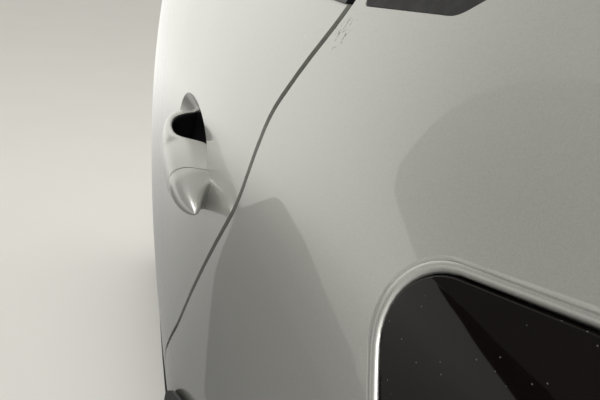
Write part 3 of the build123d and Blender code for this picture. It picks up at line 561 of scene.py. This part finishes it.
def spin(net, rows, sides):
    """Adds a turned form to a net, from rows of radius and height in mm, closed on its axis."""
    rings = []
    for radius, height in rows:
        count = 1 if radius == 0 else sides
        turns = [2 * math.pi * i / sides for i in range(count)]
        rings.append([net.verts.new((radius * math.cos(turn) / 1000, radius * math.sin(turn) / 1000,
                                     height / 1000)) for turn in turns])
    for first, second in zip(rings, rings[1:]):
        for i in range(sides):
            corners = [first[(i - 1) % len(first)], first[i % len(first)],
                       second[i % len(second)], second[(i - 1) % len(second)]]
            net.faces.new(list(dict.fromkeys(corners)))


def fastened(name, forms, spots, body, material):
    """Like fixings as one piece: turned forms set on the faces of the frame at each spot."""
    net = bmesh.new()
    for node, start, way in spots:
        at, facing = face_point(node, start, way)
        single = bmesh.new()
        for rows, sides in forms:
            spin(single, rows, sides)
        bmesh.ops.recalc_face_normals(single, faces=single.faces)
        single.transform(seated(at, facing))
        mesh = bpy.data.meshes.new("single")
        single.to_mesh(mesh)
        single.free()
        net.from_mesh(mesh)
        bpy.data.meshes.remove(mesh)
    piece = made_piece(name, net, material)
    edge = piece.modifiers.new("edge", "BEVEL")
    edge.width = 0.0004
    edge.segments = 2
    edge.limit_method = "ANGLE"
    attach(piece, body)


# Each form: rows of radius and height over its face in mm, and its sides
flange = ([(0, -1), (8.5, -1), (8.5, 0.8), (7.2, 1.8), (0, 1.8)], 24)
hexagon = ([(0, 1.7), (5.8, 1.7), (5.8, 5.4), (5.0, 6.2), (2.6, 6.2), (2.2, 4.6), (0, 4.6)], 6)
screw_head = ([(0, -1), (3.9, -1), (3.9, 1), (3.1, 1.9), (1.9, 1.9), (1.7, 0.6), (0, 0.6)], 20)
plug = ([(0, -1), (14, -1), (14, 0.8), (12.5, 1.7), (9, 1.4), (8, 0.8), (0, 0.8)], 32)
push_clip = ([(0, -1), (7.5, -1), (7.5, 0.6), (6, 1.8), (3, 2.2), (0, 2.2)], 28)

# Their spots: lines that start well clear of the part, along which each form is set on a face
clear = 1
inboard = (0, 1, 0)
outboard = (0, -1, 0)
rearward = (1, 0, 0)
hinge_zs = (("lower", 0.190), ("upper", 0.560))
pillar_bolt_xs = (-0.243, -0.217)
pillar_bolt_rises = (-0.019, 0.019)
door_bolt_rises = (-0.02, 0.02)
door_bolt_in = 0.038      # from the leaf's outer end
fastened("pillar_hinge_bolts", [flange, hexagon],
         [(f"hinge_{which}_pillar", (x, -clear, z + rise), inboard)
          for which, z in hinge_zs for x in pillar_bolt_xs for rise in pillar_bolt_rises],
         "body_side", zinc)
fastened("door_hinge_bolts", [flange, hexagon],
         [(f"hinge_{which}_door",
           (-clear, nodes[f"hinge_{which}_door"].bound_box[0][1] + door_bolt_in, z + rise), rearward)
          for which, z in hinge_zs for rise in door_bolt_rises],
         "door", zinc)
striker_screw_at = (0.6535, 0.65)
fastened("striker_screw", [screw_head],
         [("striker", (striker_screw_at[0], -clear, striker_screw_at[1]), inboard)],
         "body_side", zinc)
plugs_at = ((0.78, 0.56), (0.93, 0.52), (1.05, 0.60), (0.80, 0.98), (1.0, 0.86))
fastened("panel_plugs", [plug], [("quarter_inner", (x, clear, z), outboard) for x, z in plugs_at],
         "body_side", rubber)
wheel_x = 0.89
wheel_z = 0.045
lip_r = 0.37              # inside the wheel opening, on the lip of the cladding
clip_inboard = 0.02       # from the lip's outer face
clip_degrees = (62, 86, 110, 134, 158)
clip_spots = []
for degrees in clip_degrees:
    aside = math.cos(math.radians(degrees))
    above = math.sin(math.radians(degrees))
    lip_start = (wheel_x + lip_r * aside, -clear, wheel_z + lip_r * above)
    lip_at = face_point("arch_cladding", lip_start, inboard)[0]
    clip_spots.append(("arch_cladding", (wheel_x, lip_at.y + clip_inboard, wheel_z), (aside, 0, above)))
fastened("cladding_clips", [push_clip], clip_spots, "body_side", black_moulding)

# Trim fittings on the inside of the door
# A charcoal speaker grille with a raised rim, a charcoal bead along the upper seam, a zinc-plated
# release lever in a gloss black cup, and gloss black window switches on the armrest, all mouldings
# or pressings that are pushed or screwed onto the trim.
grille_at = (0.03, 0.255)
grille_form = ([(0, 0.2), (70, 0.2), (74, 1.0), (76, 3.2), (80, 4.2), (85, 3.2), (87, 0.5), (87, -1),
                (0, -1)], 72)
hole_apart_mm = 3.2       # real holes are about 2 mm apart, too fine to show
hole_r_mm = (0.896, 1.088)    # where a hole's painted dark middle ends, and where its edge does

# Charcoal with even rows of small holes whose black is painted shade, matt between them
perforated, tree, shader, place = finish_named("perforated charcoal grille")
holes = add(tree, "TexVoronoi", {"Vector": place, "Scale": 1000 / hole_apart_mm, "Randomness": 0})
open_hole = add(tree, "MapRange", {"Value": holes.outputs["Distance"],
                                   "From Min": hole_r_mm[0] / hole_apart_mm,
                                   "From Max": hole_r_mm[1] / hole_apart_mm})
# Painted shade: the middles of the holes are near black
painted_hole_shade = add(tree, "Mix", {0: open_hole.outputs["Result"], 6: linear("0B0B0C"), 7: linear("343538")},
                data_type="RGBA")
sunk = add(tree, "Bump", {"Height": open_hole.outputs["Result"], "Strength": 0.6, "Distance": 0.0006})
tree.links.new(painted_hole_shade.outputs[2], shader.inputs["Base Color"])
tree.links.new(sunk.outputs["Normal"], shader.inputs["Normal"])
shader.inputs["Roughness"].default_value = 0.55
fastened("speaker_grille", [grille_form], [("door_trim", (grille_at[0], clear, grille_at[1]), outboard)],
         "door", perforated)

release_start = (-0.05, clear, 0.60)
release_form = ([(0, 0.4), (24, 0.4), (29, 2.4), (33, 3.4), (37, 2.2), (38, -1), (0, -1)], 48)
fastened("release_cup", [release_form], [("door_trim", release_start, outboard)],
         "door", gloss_abs)

seam_from_x = -0.13
seam_length = 0.7
seam_z = 0.655
seam_steps = 60
seam = bpy.data.objects.new("trim_seam", bpy.data.curves.new("trim_seam", "CURVE"))
seam.data.dimensions = "3D"
seam.data.bevel_depth = 0.0016
seam.data.bevel_resolution = 2
seam_line = seam.data.splines.new("POLY")
seam_line.points.add(seam_steps)
for i, point in enumerate(seam_line.points):
    seam_start = (seam_from_x + seam_length * i / seam_steps, clear, seam_z)
    point.co = (*face_point("door_trim", seam_start, outboard)[0], 1)
scene.collection.objects.link(seam)
seam.data.materials.append(charcoal)
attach(seam, "door")


edge_share = 0.3          # of a moulding's least size


def block(name, size_mm, at, facing, material, body="door"):
    """Rounded moulding of one size, set on a face."""
    net = bmesh.new()
    bmesh.ops.create_cube(net, size=1)
    net.transform(Matrix.Diagonal((size_mm[0] / 1000, size_mm[1] / 1000, size_mm[2] / 1000, 1)))
    net.transform(seated(at, facing))
    piece = made_piece(name, net, material)
    edge = piece.modifiers.new("edge", "BEVEL")
    edge.width = min(size_mm) * edge_share / 1000
    edge.segments = 4
    piece.data.shade_smooth()
    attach(piece, body)


lever_mm = (16, 52, 7)
lever_proud = 0.006
lever_at, lever_facing = face_point("door_trim", release_start, outboard)
block("release_lever", lever_mm, lever_at + lever_facing * lever_proud, lever_facing, zinc)
switch_mm = (22, 18, 6)
switch_in = 0.045         # from the armrest's outboard side
switch_y = nodes["door_armrest"].bound_box[0][1] + switch_in
switch_xs = (0.035, 0.062)
downward = (0, 0, -1)
for i, x in enumerate(switch_xs):
    switch_at, switch_facing = face_point("door_armrest", (x, switch_y, clear), downward)
    block(f"window_switch_{i + 1}", switch_mm, switch_at, switch_facing, gloss_abs)


# Studio
# A plain pale floor under the sill, an open pale surround that is brightest ahead of the part, and
# soft lamps above it, behind it and on its inner side. Mirrored in lacquer and glass, the floor runs
# on into the surround, darkened beside the sill by a painted shadow of the part.
def surround(tree, direction):
    """Light of the surround in one direction: brightest ahead, bright behind and on the inner side, and
    dimmer at the outer side the higher it is."""
    part = add(tree, "SeparateXYZ", {0: direction}).outputs
    side = add(tree, "MapRange", {"Value": part["Z"], "From Min": 0, "From Max": 0.5,
                                  "To Min": 0.95, "To Max": 0.42}, interpolation_type="SMOOTHSTEP")
    ahead = add(tree, "MapRange", {"Value": part["X"], "From Min": -0.97, "From Max": -0.6,
                                   "To Min": 1.35, "To Max": side.outputs[0]},
                interpolation_type="SMOOTHSTEP")
    behind = add(tree, "MapRange", {"Value": part["X"], "From Min": -0.1, "From Max": 0.5, "To Max": 1.2})
    inside = add(tree, "MapRange", {"Value": part["Y"], "From Min": 0, "From Max": 0.5, "To Max": 0.9})
    wide = add(tree, "Math", {0: ahead.outputs[0], 1: behind.outputs[0]}, operation="MAXIMUM")
    return add(tree, "Math", {0: wide.outputs[0], 1: inside.outputs[0]}, operation="MAXIMUM").outputs[0]


floor_z = cad_box[0][2]
floor_middle = (0.4, 0, floor_z)
floor_reach = 7
mottles_per_m = 3
sill_shade = (0.3, 3.4)   # m from its middle, where the mirrored floor's painted shadow is darkest and where it is fully lit

# Pale and quite matt, a warm off-white with no mirror. In the lacquer it carries on the surround's
# light, so that no line shows where the floor ends, and a painted shadow darkens it beside the sill.
floor_paint, tree, shader, place = finish_named("matt pale floor paint")
mottle = add(tree, "TexNoise", {"Vector": place, "Scale": mottles_per_m, "Detail": 3})
pale = add(tree, "ValToRGB", {"Fac": mottle.outputs["Fac"]})
pale.color_ramp.elements[0].color = linear("E4E2DC")
pale.color_ramp.elements[1].color = linear("E9E7E1")
tree.links.new(pale.outputs["Color"], shader.inputs["Base Color"])
shader.inputs["Roughness"].default_value = 0.8
away = add(tree, "VectorMath", {0: place}, operation="LENGTH")
heading = add(tree, "VectorMath", {0: place}, operation="NORMALIZE")
# Painted shadow of the part: the floor's light in glossy rays is darker the nearer it is to the sill
painted_sill_shadow = add(tree, "MapRange", {"Value": away.outputs["Value"], "From Min": sill_shade[0],
                                "From Max": sill_shade[1], "To Min": 0.3, "To Max": 1},
             interpolation_type="SMOOTHSTEP")
carried = add(tree, "Math", {0: surround(tree, heading.outputs[0]), 1: painted_sill_shadow.outputs[0]},
              operation="MULTIPLY")
mirrored = add(tree, "Emission", {"Color": linear("E6E5E0"), "Strength": carried.outputs[0]})
ray = add(tree, "LightPath").outputs
either = add(tree, "MixShader", {0: ray["Is Glossy Ray"], 1: shader.outputs[0], 2: mirrored.outputs[0]})
tree.links.new(either.outputs[0], tree.nodes["Material Output"].inputs["Surface"])
floor_net = bmesh.new()
bmesh.ops.create_grid(floor_net, x_segments=1, y_segments=1, size=floor_reach)
floor = made_piece("studio_floor", floor_net, floor_paint)
floor.location = floor_middle

room_light = 0.8          # of the world on matt faces
world = bpy.data.worlds.new("studio")
scene.world = world
world.use_nodes = True
tree = world.node_tree
ray = add(tree, "LightPath").outputs
seen = add(tree, "Math", {0: ray["Is Camera Ray"], 1: ray["Is Transmission Ray"]}, operation="MAXIMUM")
around = surround(tree, add(tree, "TexCoord").outputs["Generated"])
strength = add(tree, "Mix", {0: ray["Is Glossy Ray"], 2: room_light, 3: around})
room = add(tree, "Background", {"Color": linear("E6E5E0"), "Strength": strength.outputs[0]})
white = add(tree, "Background", {"Color": linear("E2E0D8"), "Strength": 1})
both = add(tree, "MixShader", {0: seen.outputs[0], 1: room.outputs[0], 2: white.outputs[0]})
tree.links.new(both.outputs[0], tree.nodes["World Output"].inputs["Surface"])

lamps = (                 # name, place, what it is aimed at, size in m, watts, whether gloss mirrors it
    ("lamp_above", (1.3, -0.6, 3.2), (0.4, 0, 0.5), 1.5, 32, True),
    ("lamp_behind", (3.2, -1.0, 2.0), (0.9, 0, 0.6), 1.2, 28, True),
    ("lamp_inside", (0.4, 2.4, 2.0), (0.4, 0, 0.5), 1.8, 18, False),
)
for name, at, aim, size, watts, in_gloss in lamps:
    lamp = bpy.data.objects.new(name, bpy.data.lights.new(name, "AREA"))
    lamp.data.size = size
    lamp.data.energy = watts
    lamp.location = at
    lamp.rotation_euler = (Vector(aim) - Vector(at)).to_track_quat("-Z", "Y").to_euler()
    lamp.visible_glossy = in_gloss
    scene.collection.objects.link(lamp)

# Boards that hold back reflections, as are set round a car to shape its lacquer: a darker mat on the
# floor further out and a tall grey board beyond. The grey mat on the floor beside the sill is painted
# shadow, a sheet put where the part's own shadow lies. Only glossy rays meet them.
mat_z = 0.002
side_y = -6.2
boards = (                # name, its darker and lighter tone, corners in m over the floor
    # Painted shadow: a grey sheet where the part's own shadow lies on the floor beside the sill
    ("painted_shadow_mat", "565656", "606060", [(x, y, mat_z) for x, y in (
        (-1.47, -1.68), (-1.51, -1.74), (-1.45, -1.78), (-0.95, -1.67), (0.13, -1.21), (0.9, -0.9),
        (0.9, -0.35), (0.19, -0.39), (-0.3, -0.62), (-0.74, -0.89))]),
    ("mat_far", "2C2C2C", "343434", [(x, y, mat_z) for x, y in (
        (0.6, -3.0), (-0.36, -3.93), (-3.1, -6.5), (-3.1, -9), (6, -9), (4, -3.0))]),
    ("board_side", "8A8A8A", "949494", [(x, side_y, z) for x, z in (
        (-3.3, 0.1), (5, 0.1), (5, 6.9), (-2.6, 6.5), (-4.2, 6.0), (-5.1, 5.3), (-5.45, 4.4),
        (-5.4, 3.2), (-5.05, 1.6), (-4.7, 1.0))]),
)
weave_mm = 25             # real cloth is about 1 mm, too fine to show in a reflection
for name, dark, light, corners in boards:
    board = bpy.data.objects.new(name, bpy.data.meshes.new(name))
    board.data.from_pydata([(x, y, floor_z + z) for x, y, z in corners], [], [range(len(corners))])
    # Cloth-covered board: one even grey with no shine, barely mottled. Beside the sill this grey is
    # painted shadow.
    board_paint, tree, shader, place = finish_named("matt grey board of " + name)
    weave = add(tree, "TexNoise", {"Vector": place, "Scale": 1000 / weave_mm, "Detail": 3})
    dull = add(tree, "ValToRGB", {"Fac": weave.outputs["Fac"]})
    dull.color_ramp.elements[0].color = linear(dark)
    dull.color_ramp.elements[1].color = linear(light)
    tree.links.new(dull.outputs["Color"], shader.inputs["Base Color"])
    shader.inputs["Roughness"].default_value = 0.9
    board.data.materials.append(board_paint)
    board.visible_camera = False
    board.visible_diffuse = False
    board.visible_shadow = False
    board.visible_transmission = False
    scene.collection.objects.link(board)

scene.view_settings.view_transform = "Standard"
